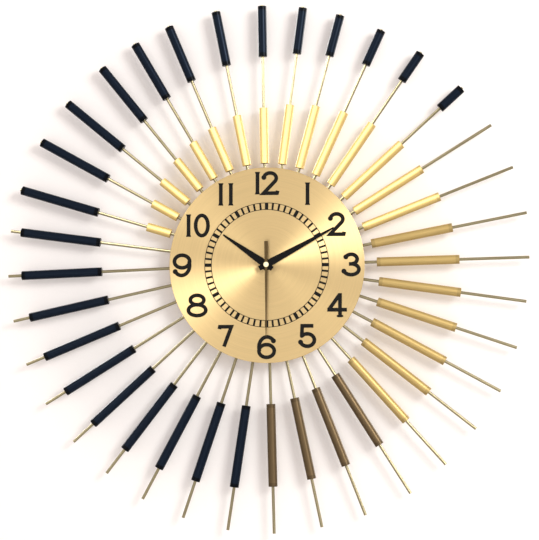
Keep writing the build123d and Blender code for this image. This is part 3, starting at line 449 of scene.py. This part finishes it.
def plaster(name, colour):
    """White matt paint, seen from its face only."""
    nodes = Nodes(name)
    x, y, z = nodes.place()
    grain = nodes.noise(nodes.vector(x, y, z), 350, detail=4.0)
    nodes.set(Base_Color=nodes.ramp(grain, (0.3, shaded(colour, 0.985)), (0.7, colour)), Roughness=0.9)
    nodes.set(Specular_IOR_Level=0.1)
    clear = nodes.add("ShaderNodeBsdfTransparent")
    facing = nodes.add("ShaderNodeNewGeometry")
    mix = nodes.add("ShaderNodeMixShader")
    nodes.link(facing.outputs["Backfacing"], mix.inputs["Fac"])
    nodes.link(nodes.shader.outputs[0], mix.inputs[1])
    nodes.link(clear.outputs[0], mix.inputs[2])
    output = next(node for node in nodes.tree.nodes if node.type == "OUTPUT_MATERIAL")
    nodes.link(mix.outputs[0], output.inputs["Surface"])
    return nodes.material


REACH = 4.0  # half the wall's width, and its height above the origin
FLOOR_Z = CENTRE.z - 1.5
FLOOR_FRONT = -2 * REACH
WALL_GAP = 0.2 * MM
WALL_Y = cad_high.y + WALL_GAP
wall_corners = [
    (-REACH, WALL_Y, FLOOR_Z),
    (REACH, WALL_Y, FLOOR_Z),
    (REACH, WALL_Y, REACH),
    (-REACH, WALL_Y, REACH),
]
floor_corners = [
    (-REACH, FLOOR_FRONT, FLOOR_Z),
    (REACH, FLOOR_FRONT, FLOOR_Z),
    (REACH, WALL_Y, FLOOR_Z),
    (-REACH, WALL_Y, FLOOR_Z),
]
sheet("wall", wall_corners, plaster("wall_paint", [0.96, 0.94, 0.925, 1.0]))
sheet("floor", floor_corners, plaster("floor_paint", [0.80, 0.79, 0.77, 1.0]))

# ---------------------------------------------------------------- lights


WARM = (1.0, 0.99, 0.96)
PALE_YELLOW = (1.0, 1.0, 0.95)
PALE_ROSE = (1.0, 0.98, 0.97)
WORLD_COLOUR = (1.0, 0.92, 0.90, 1.0)
WORLD_STRENGTH = 0.84


def clock_direction(clockwise, off_axis):
    """Direction from the dial: clockwise angle from twelve, and angle away from straight ahead."""
    side, ahead = sin(radians(off_axis)), cos(radians(off_axis))
    return Vector((side * sin(radians(clockwise)), -ahead, side * cos(radians(clockwise))))


def area_light(name, direction, distance, size, power, colour=WARM, lit=None, shading=None):
    """A round soft light that faces the dial's centre, with size in metres and power in watts.

    `lit` and `shading` limit it to the objects of one collection that it lights, or that shade it.
    """
    data = bpy.data.lights.new(name, "AREA")
    data.shape = "DISK"
    data.size = size
    data.energy = power
    data.color = colour
    lamp = bpy.data.objects.new(name, data)
    lamp.location = CENTRE + direction * distance
    lamp.rotation_euler = direction.to_track_quat("Z", "Y").to_euler()
    lamp.visible_camera = False
    lamp.light_linking.receiver_collection = lit
    lamp.light_linking.blocker_collection = shading
    bpy.context.scene.collection.objects.link(lamp)


def lit_group(name, nodes):
    """Some of the clock's nodes as a collection for a light."""
    group = bpy.data.collections.new(name)
    for node in nodes:
        group.objects.link(frame["nodes"][node])
    return group


clock = lit_group("clock_pieces", frame["nodes"])
upper_rods = lit_group("upper_rods", ("spokes_upper_left", "spokes_upper_right"))
upper_gold = lit_group("upper_gold", ("gold_sleeves_left", "gold_sleeves_top"))
REAR_LEFT = Vector((-0.6, 0.7, 0.4)).normalized()
REAR_RIGHT = Vector((0.7, 0.6, 0.2)).normalized()
area_light("key", clock_direction(62, 45), distance=3.0, size=1.2, power=46)
area_light("key_on_clock", clock_direction(58, 45), 3.0, 1.2, power=42, lit=clock)
area_light("left_on_clock", clock_direction(305, 50), 3.0, 1.2, power=18, lit=clock)
area_light("near_on_rods", clock_direction(330, 55), 0.65, 0.4, power=6, lit=upper_rods)
area_light("near_on_gold", clock_direction(340, 26), 1.2, 1.5, 38, PALE_YELLOW, lit=upper_gold)
area_light("front", clock_direction(200, 20), 4.0, 2.5, 26, PALE_ROSE)
area_light("rear_left", REAR_LEFT, 2.5, 1.0, power=40, lit=clock, shading=clock)
area_light("rear_right", REAR_RIGHT, 2.5, 1.0, power=25, lit=clock, shading=clock)

world = bpy.data.worlds.new("studio")
world.use_nodes = True
background = world.node_tree.nodes["Background"]
background.inputs["Color"].default_value = WORLD_COLOUR
background.inputs["Strength"].default_value = WORLD_STRENGTH
bpy.context.scene.world = world

# ---------------------------------------------------------------- camera

SHOWN = 0.719  # height of the picture at the spokes, in metres
CAMERA_DISTANCE = 2.5
YAW, PITCH = radians(4.9), radians(-3.3)
AIM_RIGHT, AIM_DOWN = 3 * MM, 6.2 * MM  # of the dial's centre, in the spokes' plane
SENSOR_WIDTH = 36.0

camera_data = bpy.data.cameras.new("camera")
camera_data.sensor_width = SENSOR_WIDTH
camera_data.lens = camera_data.sensor_width * CAMERA_DISTANCE / SHOWN
camera_data.clip_end = 50
camera = bpy.data.objects.new("camera", camera_data)
back = Vector((sin(YAW) * cos(PITCH), -cos(YAW) * cos(PITCH), sin(PITCH)))
spoke_low, spoke_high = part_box("spokes_lower_right")
spokes_y = (spoke_low.y + spoke_high.y) / 2
target = Vector((CENTRE.x + AIM_RIGHT, spokes_y, CENTRE.z - AIM_DOWN))
camera.location = target + back * CAMERA_DISTANCE
camera.rotation_euler = (-back).to_track_quat("-Z", "Y").to_euler()

scene = bpy.context.scene
scene.collection.objects.link(camera)
scene.camera = camera
scene.view_settings.view_transform = "Standard"
scene.view_settings.look = "None"
